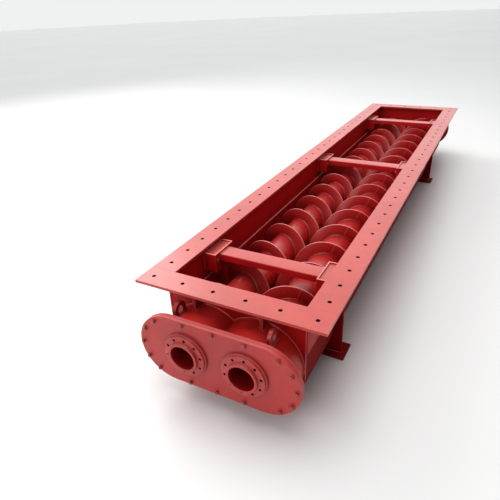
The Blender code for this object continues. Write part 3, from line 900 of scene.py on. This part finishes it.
# -------------------------------------------------------------------- bolts
def bolt_bm(place, flat=0.0115, head=0.0085, washer=0.0148, washer_t=0.0025,
            turn=0.0):
    """Hexagon head on a washer, along local +Z from the face at z = 0."""
    bm = bmesh.new()
    n = 36

    def hexr(a):
        a = (math.degrees(a) + 30.0) % 60.0 - 30.0
        return flat / math.cos(math.radians(a))

    loops = []

    def ring(fn):
        loops.append([bm.verts.new(fn(2 * math.pi * i / n)) for i in range(n)])

    def circle(r, z):
        ring(lambda a: (r * math.cos(a + turn), r * math.sin(a + turn), z))

    circle(washer, -0.0002)
    circle(washer, washer_t - 0.0006)
    circle(washer - 0.0006, washer_t)
    circle(flat * 1.17, washer_t)
    ring(lambda a: (hexr(a) * math.cos(a + turn), hexr(a) * math.sin(a + turn),
                    washer_t + 0.0002))
    top = washer_t + head
    rc = flat * 0.955
    ring(lambda a: (hexr(a) * math.cos(a + turn), hexr(a) * math.sin(a + turn),
                    top - (hexr(a) - rc) * 0.62))
    circle(rc, top)
    for a, b in zip(loops, loops[1:]):
        for i in range(n):
            j = (i + 1) % n
            bm.faces.new((a[i], a[j], b[j], b[i]))
    bm.faces.new(loops[0])
    bm.faces.new(loops[-1])
    bmesh.ops.transform(bm, matrix=place, verts=bm.verts)
    return fix(bm)


def facing(pos, direction, spin=0.0):
    q = Vector(direction).to_track_quat("Z", "Y").to_matrix().to_4x4()
    return Matrix.Translation(Vector(pos)) @ q @ Matrix.Rotation(spin, 4, "Z")


plate_bolts = ([(x, 0.170) for x in (-0.165, 0.0, 0.165)]
               + [(x, -0.170) for x in (-0.150, 0.0, 0.150)]
               + [(s * (OBR_X + 0.170 * math.cos(math.radians(a))),
                   0.170 * math.sin(math.radians(a)))
                  for s in (1, -1) for a in (60, 30, 0, -30, -58)])
for end_name, end in ENDS:
    parts = []
    for k, (bx, bz) in enumerate(plate_bolts):
        parts.append(bolt_bm(facing((bx, end * wy(face), PLATE_Z + bz),
                                    (0, -end, 0), k * 1.9),
                             flat=0.0085, head=0.0105, washer=0.0104,
                             washer_t=0.0020))
    obj = raw("end_bolts_" + end_name, merged(parts))
    dress(obj, "end_paint", bevel=0, smooth=32, mat=BOLT)

parts = []
k = 0
for y in BRACE_Y:
    yc = wy(y)
    for _, side in SIDES:
        for s in (1, -1):
            k += 1
            parts.append(bolt_bm(
                facing((side * BRACKET_IN, yc + s * (BRACE_W / 2 + 0.024),
                        BRACE_TOP - 0.030), (-side, 0, 0), k * 0.7),
                flat=0.0095, head=0.0065, washer=0.0125, washer_t=0.002))
obj = raw("bracket_bolts", merged(parts))
dress(obj, "frame_paint", bevel=0, smooth=32, mat=BOLT)

# ---------------------------------------------------------- floor and light
floor_mat = bpy.data.materials.new("studio_floor")
floor_mat.use_nodes = True
ft = floor_mat.node_tree
fb = ft.nodes["Principled BSDF"]
fb.inputs["Roughness"].default_value = 0.42
fb.inputs["Specular IOR Level"].default_value = 0.35
tc = ft.nodes.new("ShaderNodeTexCoord")
nz = ft.nodes.new("ShaderNodeTexNoise")
nz.inputs["Scale"].default_value = 0.35
nz.inputs["Detail"].default_value = 3.0
cr = ft.nodes.new("ShaderNodeValToRGB")
cr.color_ramp.elements[0].position = 0.35
cr.color_ramp.elements[0].color = (0.77, 0.77, 0.768, 1)
cr.color_ramp.elements[1].position = 0.65
cr.color_ramp.elements[1].color = (0.80, 0.80, 0.798, 1)
ft.links.new(tc.outputs["Object"], nz.inputs["Vector"])
ft.links.new(nz.outputs["Fac"], cr.inputs[0])
ft.links.new(cr.outputs[0], fb.inputs["Base Color"])
bm = bmesh.new()
bmesh.ops.create_circle(bm, cap_ends=True, segments=96, radius=60.0)
floor = raw("studio_floor", bm)
floor.data.materials.append(floor_mat)
floor.location = (0, 0, -0.0004)

world = bpy.data.worlds.new("studio")
world.use_nodes = True
bpy.context.scene.world = world
wt = world.node_tree
bg = wt.nodes["Background"]
sky = wt.nodes.new("ShaderNodeTexCoord")
split = wt.nodes.new("ShaderNodeSeparateXYZ")
wt.links.new(sky.outputs["Generated"], split.inputs[0])


def wmath(op, a, b=None, clamp=False):
    n = wt.nodes.new("ShaderNodeMath")
    n.operation = op
    n.use_clamp = clamp
    for k, v in ((0, a), (1, b)):
        if v is None:
            continue
        if isinstance(v, (int, float)):
            n.inputs[k].default_value = v
        else:
            wt.links.new(v, n.inputs[k])
    return n.outputs[0]


def wsmooth(v, lo, hi):
    n = wt.nodes.new("ShaderNodeMapRange")
    n.interpolation_type = "SMOOTHSTEP"
    n.inputs["From Min"].default_value = lo
    n.inputs["From Max"].default_value = hi
    wt.links.new(v, n.inputs["Value"])
    return n.outputs["Result"]


# a pale room that is brightest behind and to the left, dimmer to the right
toward = wmath("ADD", wmath("MULTIPLY", split.outputs[0], -0.50),
               wmath("MULTIPLY", split.outputs[1], 0.87))
back = wsmooth(toward, -0.1, 0.95)
above = wsmooth(split.outputs[2], -0.06, 0.10)
rightward = wsmooth(split.outputs[0], -0.2, 0.8)
level = wmath("ADD", wmath("MULTIPLY", back, 1.25), 0.42)
level = wmath("MULTIPLY", level, wmath("SUBTRACT", 1.0,
                                       wmath("MULTIPLY", rightward, 0.72)))
level = wmath("ADD", wmath("MULTIPLY", level, above), 0.05)
seen = wt.nodes.new("ShaderNodeLightPath").outputs["Is Camera Ray"]
level = wmath("ADD", wmath("MULTIPLY", level, wmath("SUBTRACT", 1.0, seen)),
              wmath("MULTIPLY", seen, 0.88))
bg.inputs["Color"].default_value = (0.99, 1.0, 1.0, 1)
wt.links.new(level, bg.inputs["Strength"])


def area(name, loc, aim, size, power, colour=(1, 1, 1), size_y=None):
    data = bpy.data.lights.new(name, "AREA")
    data.shape = "RECTANGLE"
    data.size = size
    data.size_y = size_y or size
    data.energy = power
    data.color = colour
    obj = bpy.data.objects.new(name, data)
    bpy.context.collection.objects.link(obj)
    obj.location = loc
    obj.rotation_euler = (Vector(aim) - Vector(loc)).to_track_quat(
        "-Z", "Y").to_euler()
    obj.visible_camera = False
    return obj


area("soft_key", (-6.5, 2.2, 5.2), (0, -0.8, 0.4), 4.4, 320.0, (1.0, 0.99, 0.98))
area("soft_top", (-0.2, -1.4, 6.5), (0, -0.8, 0.4), 4.5, 235.0)
area("soft_front", (-0.8, -7.5, 3.4), (0, -2.2, 0.0), 4.0, 120.0)

# ------------------------------------------------------------------- camera
yaw, pitch, roll = math.radians(-28.968), math.radians(28.543), math.radians(-2.551)
fwd = Vector((math.sin(yaw) * math.cos(pitch), math.cos(yaw) * math.cos(pitch),
              -math.sin(pitch)))
right = Vector((math.cos(yaw), -math.sin(yaw), 0))
up = right.cross(fwd)
r2 = right * math.cos(roll) + up * math.sin(roll)
u2 = up * math.cos(roll) - right * math.sin(roll)
cam_data = bpy.data.cameras.new("camera")
cam_data.sensor_width = 36.0
cam_data.lens = 36.0 * 455.095 / 500.0
cam = bpy.data.objects.new("camera", cam_data)
bpy.context.collection.objects.link(cam)
pose = Matrix((r2, u2, -fwd)).transposed().to_4x4()
pose.translation = Vector((0.938, -1.406 - LENGTH / 2, 1.186 + HEIGHT))
cam.matrix_world = pose
bpy.context.scene.camera = cam
bpy.context.scene.view_settings.view_transform = "Standard"
